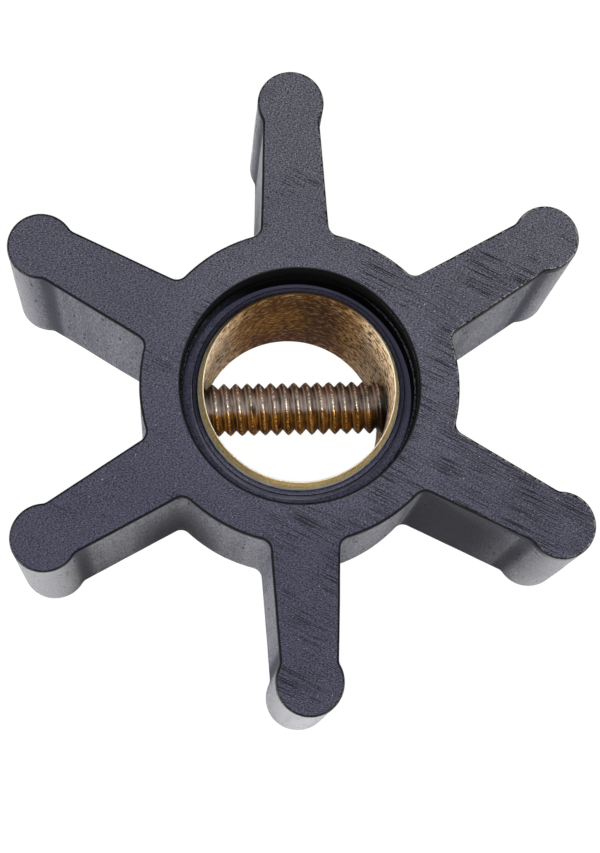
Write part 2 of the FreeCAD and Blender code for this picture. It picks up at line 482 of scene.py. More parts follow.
def drive_screw(steel):
    """The threaded screw: a sheet whose rows follow the thread, rolled up, with worn crests and flat ends."""
    sizes = {
        "Length": SCREW_LENGTH * MM,
        "Radius": SCREW_RADIUS * MM,
        "Pitch": THREAD_PITCH * MM,
        "Depth": THREAD_DEPTH * MM,
        "Height": SCREW_Z * MM,
        "Wear": CREST_WEAR * MM,
    }
    screw = patches_object("threaded_screw", [])
    tree, given = geometry_tree("rolled thread", sizes)
    pitches = add(tree, "ShaderNodeMath", {"operation": "DIVIDE"}, {
        0: given.outputs["Length"], 1: given.outputs["Pitch"]})
    turns = add(tree, "ShaderNodeMath", {"operation": "ADD"}, {
        0: add(tree, "ShaderNodeMath", {"operation": "CEIL"}, {0: pitches}), 1: float(SPARE_TURNS)})
    whole = add(tree, "ShaderNodeMath", {"operation": "MULTIPLY"}, {0: turns, 1: given.outputs["Pitch"]})
    columns = add(tree, "ShaderNodeMath", {"operation": "MULTIPLY_ADD"}, {
        0: turns, 1: float(THREAD_STEPS), 2: 1.0})
    sheet = add(tree, "GeometryNodeMeshGrid", None, {
        "Size X": whole, "Size Y": 2 * math.pi, "Vertices X": columns, "Vertices Y": SCREW_TURN_STEPS + 1})
    flat = add(tree, "ShaderNodeSeparateXYZ", None, {0: add(tree, "GeometryNodeInputPosition")})
    angle = flat.outputs["Y"]
    lead = add(tree, "ShaderNodeMath", {"operation": "MULTIPLY"}, {0: angle, 1: given.outputs["Pitch"]})
    along = add(tree, "ShaderNodeMath", {"operation": "MULTIPLY_ADD"}, {
        0: lead, 1: 1 / (2 * math.pi), 2: flat.outputs["X"]})
    half = add(tree, "ShaderNodeMath", {"operation": "MULTIPLY"}, {0: given.outputs["Length"], 1: 0.5})
    back = add(tree, "ShaderNodeMath", {"operation": "MULTIPLY"}, {0: half, 1: -1.0})
    kept = add(tree, "ShaderNodeMath", {"operation": "MINIMUM"}, {
        0: half, 1: add(tree, "ShaderNodeMath", {"operation": "MAXIMUM"}, {0: back, 1: along})})
    past = add(tree, "ShaderNodeMath", {"operation": "SUBTRACT"}, {
        0: add(tree, "ShaderNodeMath", {"operation": "ABSOLUTE"}, {0: along}), 1: half})
    end = add(tree, "ShaderNodeMapRange", None, {
        "Value": past, "From Max": given.outputs["Pitch"], "To Min": 1.0, "To Max": 0.0})

    # Shares of the pitch from the nearest crest, 0 on it and 1 in the root
    phase = add(tree, "ShaderNodeMath", {"operation": "DIVIDE"}, {
        0: flat.outputs["X"], 1: given.outputs["Pitch"]})
    root = add(tree, "ShaderNodeMath", {"operation": "PINGPONG"}, {0: phase, 1: 0.5})
    share = add(tree, "ShaderNodeMath", {"operation": "MULTIPLY"}, {0: root, 1: 2.0})
    shape = add(tree, "ShaderNodeMath", {"operation": "POWER"}, {0: share, 1: FLANK_POWER})
    drop = add(tree, "ShaderNodeMath", {"operation": "MULTIPLY"}, {0: shape, 1: given.outputs["Depth"]})
    reach = add(tree, "ShaderNodeMath", {"operation": "SUBTRACT"}, {0: given.outputs["Radius"], 1: drop})
    shrunk = add(tree, "ShaderNodeMath", {"operation": "MULTIPLY"}, {0: reach, 1: end})
    off_centre = add(tree, "ShaderNodeMath", {"operation": "GREATER_THAN"}, {0: shrunk, 1: END_CENTRE * MM})
    closed = add(tree, "ShaderNodeMath", {"operation": "MULTIPLY"}, {0: shrunk, 1: off_centre})
    side = add(tree, "ShaderNodeMath", {"operation": "COSINE"}, {0: angle})
    top = add(tree, "ShaderNodeMath", {"operation": "SINE"}, {0: angle})
    outward = add(tree, "ShaderNodeCombineXYZ", None, {"Y": side, "Z": top})
    centre = add(tree, "ShaderNodeCombineXYZ", None, {"X": kept, "Z": given.outputs["Height"]})
    rolled = add(tree, "ShaderNodeVectorMath", {"operation": "MULTIPLY_ADD"}, {
        0: outward, 1: closed, 2: centre})
    thread = add(tree, "GeometryNodeSetPosition", None, {"Geometry": sheet, "Position": rolled})
    joined = add(tree, "GeometryNodeMergeByDistance", None, {"Geometry": thread, "Distance": WELD * MM})

    # Corrosion and knocks take a little off the thread, more at some places than at others
    place = add(tree, "GeometryNodeInputPosition")
    middle = add(tree, "ShaderNodeCombineXYZ", None, {"Z": given.outputs["Height"]})
    spoke = add(tree, "ShaderNodeVectorMath", {"operation": "MULTIPLY"}, {
        0: add(tree, "ShaderNodeVectorMath", {"operation": "SUBTRACT"}, {0: place, 1: middle}), 1: (0, 1, 1)})
    unit = add(tree, "ShaderNodeVectorMath", {"operation": "NORMALIZE"}, {0: spoke})
    knocks = add(tree, "ShaderNodeTexNoise", None, {
        "Vector": place, "Scale": per_mm(WEAR_SIZE), "Detail": 3.0})
    taken = add(tree, "ShaderNodeMapRange", None, {
        "Value": knocks, "From Min": 0.4, "From Max": 0.75, "To Max": given.outputs["Wear"]})
    past_middle = add(tree, "ShaderNodeMath", {"operation": "ABSOLUTE"}, {
        0: add(tree, "ShaderNodeSeparateXYZ", None, {0: place}).outputs["X"]})
    thread_end = add(tree, "ShaderNodeMath", {"operation": "SUBTRACT"}, {0: half, 1: WELD * MM})
    on_thread = add(tree, "ShaderNodeMath", {"operation": "LESS_THAN"}, {0: past_middle, 1: thread_end})
    lost = add(tree, "ShaderNodeMath", {"operation": "MULTIPLY"}, {0: taken, 1: on_thread})
    loss = add(tree, "ShaderNodeMath", {"operation": "MULTIPLY"}, {0: lost, 1: -1.0})
    inward = add(tree, "ShaderNodeVectorMath", {"operation": "SCALE"}, {0: unit, "Scale": loss})
    worn = add(tree, "GeometryNodeSetPosition", None, {"Geometry": joined, "Offset": inward})
    rusted = add(tree, "GeometryNodeSetMaterial", None, {"Geometry": worn, "Material": steel})
    run_tree(screw, tree, rusted, sizes)
    finish_shape(screw)
    return screw


def new_material(name):
    """An empty node material, with its tree."""
    material = bpy.data.materials.new(name)
    material.use_nodes = True
    material.node_tree.nodes.clear()
    return material, material.node_tree


def use_shader(tree, shader):
    """End a material at its last shader."""
    add(tree, "ShaderNodeOutputMaterial", None, {"Surface": shader})


def ground_rubber():
    """Nitrile rubber faced by a grinding wheel.

    To the eye it is blue-black and matt, with a fine grain, thin dark tracks and a few scratches.
    """
    material, tree = new_material("ground_nitrile_rubber")
    place = add(tree, "ShaderNodeTexCoord").outputs["Object"]

    # An even grain lies under thin dark tracks, which run down to the right in groups, most of them at the
    # lower right. Both are finer on the real face, and are drawn as coarse as they need to show.
    sway = add(tree, "ShaderNodeTexNoise", None, {"Vector": place, "Scale": per_mm(2.2), "Detail": 2.0})
    swayed = add(tree, "ShaderNodeVectorMath", {"operation": "MULTIPLY_ADD"}, {
        0: sway.outputs["Color"], 1: (0.25 * MM, 0.25 * MM, 0), 2: place})
    grain = add(tree, "ShaderNodeTexNoise", None, {
        "Vector": add(tree, "ShaderNodeMapping", {"vector_type": "TEXTURE"}, {
            "Vector": swayed, "Rotation": (0, 0, math.radians(-24)), "Scale": (0.17 * MM, 0.085 * MM, MM)}),
        "Scale": 1.0, "Detail": 2.0, "Roughness": 0.7})
    tracks = add(tree, "ShaderNodeTexNoise", None, {
        "Vector": add(tree, "ShaderNodeMapping", {"vector_type": "TEXTURE"}, {
            "Vector": swayed, "Rotation": (0, 0, math.radians(-28)), "Scale": (4.0 * MM, 0.09 * MM, MM)}),
        "Scale": 1.0, "Detail": 0.0})
    groups = add(tree, "ShaderNodeTexNoise", None, {"Vector": place, "Scale": per_mm(4.0), "Detail": 2.0})
    worked = add(tree, "ShaderNodeVectorMath", {"operation": "DISTANCE"}, {
        0: place, 1: (15 * MM, -7 * MM, WIDTH * MM)})
    most = add(tree, "ShaderNodeMapRange", None, {
        "Value": worked.outputs["Value"], "From Min": 8 * MM, "From Max": 34 * MM,
        "To Min": 0.12, "To Max": -0.2})
    grouped = add(tree, "ShaderNodeMapRange", None, {
        "Value": add(tree, "ShaderNodeMath", {"operation": "ADD"}, {0: groups, 1: most}),
        "From Min": 0.42, "From Max": 0.62, "To Min": 0.12})
    sunk = add(tree, "ShaderNodeMapRange", None, {"Value": tracks, "From Min": 0.45, "From Max": 0.34})
    track = add(tree, "ShaderNodeMath", {"operation": "MULTIPLY"}, {0: grouped, 1: sunk})
    relief = add(tree, "ShaderNodeMath", {"operation": "MULTIPLY_ADD"}, {0: track, 1: -0.22, 2: grain})
    light = add(tree, "ShaderNodeMapRange", None, {"Value": relief, "From Min": 0.38, "From Max": 0.66})

    # The face is painted lighter towards its upper right as painted light, and its tone differs at random
    broad = add(tree, "ShaderNodeTexNoise", None, {"Vector": place, "Scale": per_mm(9.0), "Detail": 3.0})
    toward = add(tree, "ShaderNodeVectorMath", {"operation": "DOT_PRODUCT"}, {0: place, 1: (0.45, 1.0, 0)})
    upper_right_light = add(tree, "ShaderNodeMapRange", None, {
        "Value": toward.outputs["Value"], "From Min": -14 * MM, "From Max": 26 * MM})
    painted_light_and_tone = add(tree, "ShaderNodeMix", {"data_type": "FLOAT"}, {0: 0.3, 2: upper_right_light, 3: broad})
    low = add(tree, "ShaderNodeMix", {"data_type": "RGBA"}, {
        0: painted_light_and_tone, 6: linear("#0C0C14"), 7: linear("#1E1E28")})
    high = add(tree, "ShaderNodeMix", {"data_type": "RGBA"}, {
        0: painted_light_and_tone, 6: linear("#50506A"), 7: linear("#7C7C86")})
    face = add(tree, "ShaderNodeMix", {"data_type": "RGBA"}, {0: light, 6: low, 7: high})

    # Pale specks, partly dust and partly painted glints on the grain, more of them towards the top
    dust_and_glints = add(tree, "ShaderNodeTexNoise", None, {"Vector": place, "Scale": per_mm(0.16), "Detail": 0.0})
    chance = add(tree, "ShaderNodeMath", {"operation": "MULTIPLY_ADD"}, {0: painted_light_and_tone, 1: 0.05, 2: dust_and_glints})
    specks = add(tree, "ShaderNodeMapRange", None, {
        "Value": chance, "From Min": 0.81, "From Max": 0.9, "To Max": 0.7})
    specked = add(tree, "ShaderNodeMix", {"data_type": "RGBA"}, {0: specks, 6: face, 7: linear("#B4B4C2")})

    # A few long thin scratches are black, because no dust stays in them
    steady = add(tree, "ShaderNodeVectorMath", {"operation": "MULTIPLY_ADD"}, {
        0: sway.outputs["Color"], 1: (0.3 * MM, 0.3 * MM, 0), 2: place})
    lines = add(tree, "ShaderNodeTexNoise", None, {
        "Vector": add(tree, "ShaderNodeMapping", {"vector_type": "TEXTURE"}, {
            "Vector": steady, "Rotation": (0, 0, math.radians(-30)), "Scale": (6 * MM, 0.08 * MM, MM)}),
        "Scale": 1.0, "Detail": 0.0})
    cut = add(tree, "ShaderNodeMapRange", None, {
        "Value": lines, "From Min": 0.7, "From Max": 0.76, "To Max": 0.45})
    scratch = add(tree, "ShaderNodeMath", {"operation": "MULTIPLY"}, {0: grouped, 1: cut})
    scratched = add(tree, "ShaderNodeMix", {"data_type": "RGBA"}, {
        0: scratch, 6: specked, 7: linear("#08080C")})

    # A thin ring at the brink of the recess is painted black
    brink = add(tree, "ShaderNodeMapRange", None, {
        "Value": from_axis(tree, place),
        "From Min": (RECESS_RADIUS + 0.24) * MM, "From Max": (RECESS_RADIUS + 0.16) * MM})
    rimmed = add(tree, "ShaderNodeMix", {"data_type": "RGBA"}, {0: brink, 6: scratched, 7: linear("#08080A")})
    height = add(tree, "ShaderNodeMath", {"operation": "MULTIPLY_ADD"}, {0: scratch, 1: -0.8, 2: relief})
    bump = add(tree, "ShaderNodeBump", None, {"Height": height, "Strength": 0.8, "Distance": 0.06 * MM})
    use_shader(tree, add(tree, "ShaderNodeBsdfPrincipled", None, {
        "Base Color": rimmed, "Roughness": 0.6, "IOR": 1.5, "Specular IOR Level": 0.25, "Normal": bump}))
    return material


def moulded_rubber():
    """Nitrile rubber straight from its mould.

    To the eye it is near black and half matt, with a pebbled skin that shines at a low angle.
    """
    material, tree = new_material("moulded_nitrile_rubber")
    place = add(tree, "ShaderNodeTexCoord").outputs["Object"]
    parts = add(tree, "ShaderNodeSeparateXYZ", None, {0: place})
    normal = add(tree, "ShaderNodeNewGeometry").outputs["Normal"]
    radius = from_axis(tree, place)

    # The pebbles and pits are drawn tall, or they would be too fine to show on a wall seen from the front
    tall = add(tree, "ShaderNodeMapping", {"vector_type": "TEXTURE"}, {
        "Vector": place, "Scale": (0.14 * MM, 0.14 * MM, 0.9 * MM)})
    grain = add(tree, "ShaderNodeTexNoise", None, {
        "Vector": tall, "Scale": 1.0, "Detail": 3.0, "Roughness": 0.6})
    holes = add(tree, "ShaderNodeMapping", {"vector_type": "TEXTURE"}, {
        "Vector": place, "Scale": (0.7 * MM, 0.7 * MM, 2.0 * MM)})
    bubbles = add(tree, "ShaderNodeTexVoronoi", None, {"Vector": holes, "Scale": 1.0})
    burst = add(tree, "ShaderNodeMath", {"operation": "GREATER_THAN"}, {
        0: add(tree, "ShaderNodeSeparateColor", None, {0: bubbles.outputs["Color"]}), 1: 0.7})
    near = add(tree, "ShaderNodeMapRange", None, {
        "Value": bubbles.outputs["Distance"], "From Min": 0.22, "From Max": 0.12})
    pit = add(tree, "ShaderNodeMath", {"operation": "MULTIPLY"}, {0: near, 1: burst})
    pebbles = add(tree, "ShaderNodeMapRange", None, {"Value": grain, "From Min": 0.35, "From Max": 0.65})
    skin = add(tree, "ShaderNodeMix", {"data_type": "RGBA"}, {
        0: pebbles, 6: linear("#0C0C14"), 7: linear("#32324A")})
    pitted = add(tree, "ShaderNodeMix", {"data_type": "RGBA"}, {0: pit, 6: skin, 7: linear("#030303")})

    # A black band is painted just below the face's edge, as the shade under its rim, thicker to the right.
    # Inside it runs a thin line of pale chips and painted highlight, mostly round the upper right half.
    thicker = add(tree, "ShaderNodeMapRange", None, {
        "Value": parts.outputs["X"], "From Min": -24 * MM, "From Max": 22 * MM,
        "To Min": -0.15 * MM, "To Max": 0.7 * MM})
    leaning = add(tree, "ShaderNodeMath", {"operation": "ADD"}, {0: thicker, 1: parts.outputs["Z"]})
    lip = add(tree, "ShaderNodeMapRange", None, {
        "Value": leaning, "From Min": (WIDTH - 0.38) * MM, "From Max": (WIDTH - 0.23) * MM})
    edge_shaded = add(tree, "ShaderNodeMix", {"data_type": "RGBA"}, {0: lip, 6: pitted, 7: linear("#020204")})
    rim = add(tree, "ShaderNodeMapRange", None, {
        "Value": parts.outputs["Z"], "From Min": (WIDTH - 0.05) * MM, "From Max": (WIDTH - 0.02) * MM})
    facing = add(tree, "ShaderNodeVectorMath", {"operation": "DOT_PRODUCT"}, {0: normal, 1: (0.35, 0.9, 0)})
    toward = add(tree, "ShaderNodeVectorMath", {"operation": "DOT_PRODUCT"}, {0: place, 1: (35.0, 15.0, 0)})
    side = add(tree, "ShaderNodeMath", {"operation": "ADD"}, {
        0: facing.outputs["Value"], 1: toward.outputs["Value"]})
    chips = add(tree, "ShaderNodeTexNoise", None, {"Vector": place, "Scale": per_mm(0.22), "Detail": 2.0})
    chipped = add(tree, "ShaderNodeMapRange", None, {"Value": chips, "From Min": 0.44, "From Max": 0.58})
    edge_facing_light = add(tree, "ShaderNodeMapRange", None, {"Value": side, "From Min": 0.1, "From Max": 0.7})
    chipped_rim = add(tree, "ShaderNodeMath", {"operation": "MULTIPLY"}, {0: rim, 1: chipped})
    pale = add(tree, "ShaderNodeMath", {"operation": "MULTIPLY"}, {0: chipped_rim, 1: edge_facing_light})
    edged = add(tree, "ShaderNodeMix", {"data_type": "RGBA"}, {0: pale, 6: edge_shaded, 7: linear("#8C8884")})

    # The left flank of the top vane is painted paler, as light that falls on it
    left_flank = add(tree, "ShaderNodeVectorMath", {"operation": "DOT_PRODUCT"}, {0: normal, 1: (-1, 0.1, 0)})
    facing_left = add(tree, "ShaderNodeMapRange", None, {
        "Value": left_flank.outputs["Value"], "From Min": 0.97, "From Max": 0.99})
    above = add(tree, "ShaderNodeMapRange", None, {
        "Value": parts.outputs["Y"], "From Min": 9 * MM, "From Max": 12 * MM, "To Max": 0.8})
    painted_flank_light = add(tree, "ShaderNodeMath", {"operation": "MULTIPLY"}, {0: facing_left, 1: above})
    flank_lit = add(tree, "ShaderNodeMix", {"data_type": "RGBA"}, {0: painted_flank_light, 6: edged, 7: linear("#6A6A72")})

    # The wall below the lower right vane is painted dark and made dull, as the shade in its pocket
    under = add(tree, "ShaderNodeVectorMath", {"operation": "DOT_PRODUCT"}, {0: normal, 1: (-0.5, -0.87, 0)})
    turned = add(tree, "ShaderNodeMapRange", {"interpolation_type": "SMOOTHSTEP"}, {
        "Value": under.outputs["Value"], "From Min": 0.6, "From Max": 0.95})
    right = add(tree, "ShaderNodeMapRange", {"interpolation_type": "SMOOTHSTEP"}, {
        "Value": parts.outputs["X"], "From Min": 5 * MM, "From Max": 9 * MM})
    inner = add(tree, "ShaderNodeMapRange", {"interpolation_type": "SMOOTHSTEP"}, {
        "Value": parts.outputs["X"], "From Min": 20 * MM, "From Max": 15 * MM})
    low_right = add(tree, "ShaderNodeMath", {"operation": "MULTIPLY"}, {0: right, 1: inner})
    lower_right_shade = add(tree, "ShaderNodeMath", {"operation": "MULTIPLY"}, {0: turned, 1: low_right})

    # The vanes' necks and the lower left pocket are painted dark as shade, darkest low in the pocket's corner
    neck_radius = 23.7 * MM
    pocket_foot = (-10.6 * MM, -9.8 * MM, 0)
    off_neck = add(tree, "ShaderNodeMath", {"operation": "ABSOLUTE"}, {
        0: add(tree, "ShaderNodeMath", {"operation": "SUBTRACT"}, {0: radius, 1: neck_radius})})
    neck = add(tree, "ShaderNodeMapRange", {"interpolation_type": "SMOOTHSTEP"}, {
        "Value": off_neck, "From Min": 1.1 * MM, "From Max": 0.1 * MM, "To Max": 0.85})
    from_foot = add(tree, "ShaderNodeVectorMath", {"operation": "SUBTRACT"}, {0: place, 1: pocket_foot})
    distance = add(tree, "ShaderNodeVectorMath", {"operation": "LENGTH"}, {0: from_foot}).outputs["Value"]
    deep = add(tree, "ShaderNodeMapRange", {"interpolation_type": "SMOOTHSTEP"}, {
        "Value": distance, "From Min": 17 * MM, "From Max": 2 * MM, "To Max": 0.9})
    hollow = add(tree, "ShaderNodeMapRange", {"interpolation_type": "SMOOTHSTEP"}, {
        "Value": from_axis(tree, from_foot), "From Min": 5.5 * MM, "From Max": 1.5 * MM})
    pocket = add(tree, "ShaderNodeMath", {"operation": "MULTIPLY"}, {0: deep, 1: hollow})
    toned = add(tree, "ShaderNodeMath", {"operation": "MAXIMUM"}, {0: neck, 1: pocket})
    painted_shade = add(tree, "ShaderNodeMath", {"operation": "MAXIMUM"}, {0: lower_right_shade, 1: toned})
    shaded = add(tree, "ShaderNodeMix", {"data_type": "RGBA"}, {0: painted_shade, 6: flank_lit, 7: linear("#040414")})

    # Handling leaves the skin duller in upright streaks, and the pump's housing has rubbed the tips smooth
    runs = add(tree, "ShaderNodeTexNoise", None, {
        "Vector": add(tree, "ShaderNodeMapping", {"vector_type": "TEXTURE"}, {
            "Vector": place, "Scale": (2.0 * MM, 2.0 * MM, 40.0 * MM)}),
        "Scale": 1.0, "Detail": 2.0})
    streaks = add(tree, "ShaderNodeMapRange", None, {"Value": runs, "From Min": 0.38, "From Max": 0.62})
    worn = add(tree, "ShaderNodeMix", {"data_type": "FLOAT"}, {0: 0.3, 2: pebbles, 3: streaks})
    sheen = add(tree, "ShaderNodeMapRange", None, {"Value": worn, "To Min": 0.58, "To Max": 0.24})
    dull = add(tree, "ShaderNodeMix", {"data_type": "FLOAT"}, {
        0: add(tree, "ShaderNodeMath", {"operation": "MAXIMUM"}, {0: pit, 1: lip}), 2: sheen, 3: 0.95})
    tip = add(tree, "ShaderNodeMapRange", {"interpolation_type": "SMOOTHSTEP"}, {
        "Value": radius, "From Min": 24.2 * MM, "From Max": 26.2 * MM})
    smooth = add(tree, "ShaderNodeMath", {"operation": "MULTIPLY"}, {0: tip, 1: 0.85})
    rubbed_and_lit = add(tree, "ShaderNodeMix", {"data_type": "FLOAT"}, {0: smooth, 2: dull, 3: 0.15})
    dull_in_shade = add(tree, "ShaderNodeMix", {"data_type": "FLOAT"}, {0: painted_shade, 2: rubbed_and_lit, 3: 1.0})
    height = add(tree, "ShaderNodeMath", {"operation": "MULTIPLY_ADD"}, {0: pit, 1: -0.8, 2: grain})
    bump = add(tree, "ShaderNodeBump", None, {"Height": height, "Strength": 0.9, "Distance": 0.1 * MM})
    use_shader(tree, add(tree, "ShaderNodeBsdfPrincipled", None, {
        "Base Color": shaded, "Roughness": dull_in_shade, "IOR": 1.5, "Specular IOR Level": 0.3,
        "Sheen Weight": 0.1, "Sheen Roughness": 0.35, "Sheen Tint": linear("#F4F4FF"), "Normal": bump}))
    return material


def recess_rubber():
    """The same rubber where no wheel or flow reaches it.

    To the eye its outer wall is black with painted shade, and a matt blue-grey bloom covers the groove and
    the collar, painted lighter at the lower left.
    """
    material, tree = new_material("recess_nitrile_rubber")
    place = add(tree, "ShaderNodeTexCoord").outputs["Object"]
    parts = add(tree, "ShaderNodeSeparateXYZ", None, {0: place})
    radius = from_axis(tree, place)

    # A bloom lies on the groove and the collar, painted lighter on the lower left and darker on the upper
    # right, as painted light and shade. Its grain is drawn as coarse as it needs to show
    grain = add(tree, "ShaderNodeTexNoise", None, {
        "Vector": place, "Scale": per_mm(0.14), "Detail": 2.0, "Roughness": 0.7})
    fine = add(tree, "ShaderNodeMapRange", None, {"Value": grain, "From Min": 0.32, "From Max": 0.68})
    toward = add(tree, "ShaderNodeVectorMath", {"operation": "DOT_PRODUCT"}, {0: place, 1: (0.6, 0.8, 0)})
    upper = add(tree, "ShaderNodeMapRange", {"interpolation_type": "SMOOTHSTEP"}, {
        "Value": toward.outputs["Value"], "From Min": 0.5 * MM, "From Max": 6 * MM})
    shade_upward = add(tree, "ShaderNodeMapRange", {"interpolation_type": "SMOOTHSTEP"}, {
        "Value": parts.outputs["Y"], "From Min": -7 * MM, "From Max": -1 * MM})
    thin = add(tree, "ShaderNodeMix", {"data_type": "RGBA"}, {
        0: fine, 6: linear("#1E1E28"), 7: linear("#3E3E4E")})
    bloom_in_light = add(tree, "ShaderNodeMix", {"data_type": "RGBA"}, {
        0: fine, 6: linear("#36364A"), 7: linear("#6C6C84")})
    flat = add(tree, "ShaderNodeMix", {"data_type": "RGBA"}, {0: shade_upward, 6: bloom_in_light, 7: thin})
    sunk_bloom_in_light = add(tree, "ShaderNodeMix", {"data_type": "RGBA"}, {
        0: fine, 6: linear("#30303E"), 7: linear("#606074")})
    sunk = add(tree, "ShaderNodeMix", {"data_type": "RGBA"}, {0: upper, 6: sunk_bloom_in_light, 7: linear("#444456")})
    beyond = add(tree, "ShaderNodeMapRange", None, {
        "Value": radius, "From Min": (COLLAR_RADIUS - 0.08) * MM, "From Max": (COLLAR_RADIUS - 0.04) * MM})
    bloom = add(tree, "ShaderNodeMix", {"data_type": "RGBA"}, {0: beyond, 6: flat, 7: sunk})

    # A fine dark seam runs round the collar's edge, and its side is painted pale at the lower left, as light
    # on it
    brink = add(tree, "ShaderNodeMath", {"operation": "COMPARE"}, {
        0: radius, 1: (COLLAR_RADIUS - 0.03) * MM, 2: 0.05 * MM})
    high = add(tree, "ShaderNodeMath", {"operation": "GREATER_THAN"}, {
        0: parts.outputs["Z"], 1: (COLLAR_Z - 0.1) * MM})
    seam = add(tree, "ShaderNodeMath", {"operation": "MULTIPLY"}, {0: brink, 1: high})
    collar_side = add(tree, "ShaderNodeMath", {"operation": "SUBTRACT"}, {0: brink, 1: high})
    collar_side_light = add(tree, "ShaderNodeMath", {"operation": "SUBTRACT", "use_clamp": True}, {
        0: collar_side, 1: upper})
    collar_lit = add(tree, "ShaderNodeMix", {"data_type": "RGBA"}, {0: collar_side_light, 6: bloom, 7: linear("#D8D8EC")})
    seamed = add(tree, "ShaderNodeMix", {"data_type": "RGBA"}, {0: seam, 6: collar_lit, 7: linear("#101014")})

    # The outer wall is painted black as the shade in the recess, but at the lower left only above its ledge
    wall = add(tree, "ShaderNodeMapRange", {"interpolation_type": "SMOOTHSTEP"}, {
        "Value": radius, "From Min": (RECESS_RADIUS - WALL_STEP - 0.12) * MM,
        "From Max": (RECESS_RADIUS - WALL_STEP - 0.04) * MM})
    over = add(tree, "ShaderNodeMath", {"operation": "GREATER_THAN"}, {
        0: parts.outputs["Z"], 1: (STEP_Z - 0.1) * MM})
    black = add(tree, "ShaderNodeMath", {"operation": "MAXIMUM"}, {0: over, 1: upper})
    wall_shade = add(tree, "ShaderNodeMath", {"operation": "MULTIPLY"}, {0: wall, 1: black})

    # Dust lies in dots on the ledge and at the wall's mouth
    ledge = add(tree, "ShaderNodeMath", {"operation": "COMPARE"}, {
        0: parts.outputs["Z"], 1: STEP_Z * MM, 2: 0.08 * MM})
    mouth = add(tree, "ShaderNodeMath", {"operation": "COMPARE"}, {
        0: parts.outputs["Z"], 1: (WIDTH - 0.2) * MM, 2: 0.08 * MM})
    either = add(tree, "ShaderNodeMath", {"operation": "MAXIMUM"}, {0: ledge, 1: mouth})
    dots = add(tree, "ShaderNodeMapRange", None, {"Value": grain, "From Min": 0.46, "From Max": 0.6})
    crown = add(tree, "ShaderNodeMapRange", {"interpolation_type": "SMOOTHSTEP"}, {
        "Value": parts.outputs["Y"], "From Min": 9.5 * MM, "From Max": 5 * MM})
    sided = add(tree, "ShaderNodeMath", {"operation": "MULTIPLY"}, {0: dots, 1: crown})
    dusted = add(tree, "ShaderNodeMath", {"operation": "MULTIPLY"}, {0: either, 1: sided})
    dark = add(tree, "ShaderNodeMix", {"data_type": "RGBA"}, {
        0: dusted, 6: linear("#010101"), 7: linear("#50505A")})
    colour = add(tree, "ShaderNodeMix", {"data_type": "RGBA"}, {0: wall_shade, 6: seamed, 7: dark})
    bump = add(tree, "ShaderNodeBump", None, {"Height": grain, "Strength": 0.6, "Distance": 0.06 * MM})
    use_shader(tree, add(tree, "ShaderNodeBsdfPrincipled", None, {
        "Base Color": colour, "Roughness": 0.9, "IOR": 1.5, "Specular IOR Level": 0.1, "Normal": bump}))
    return material


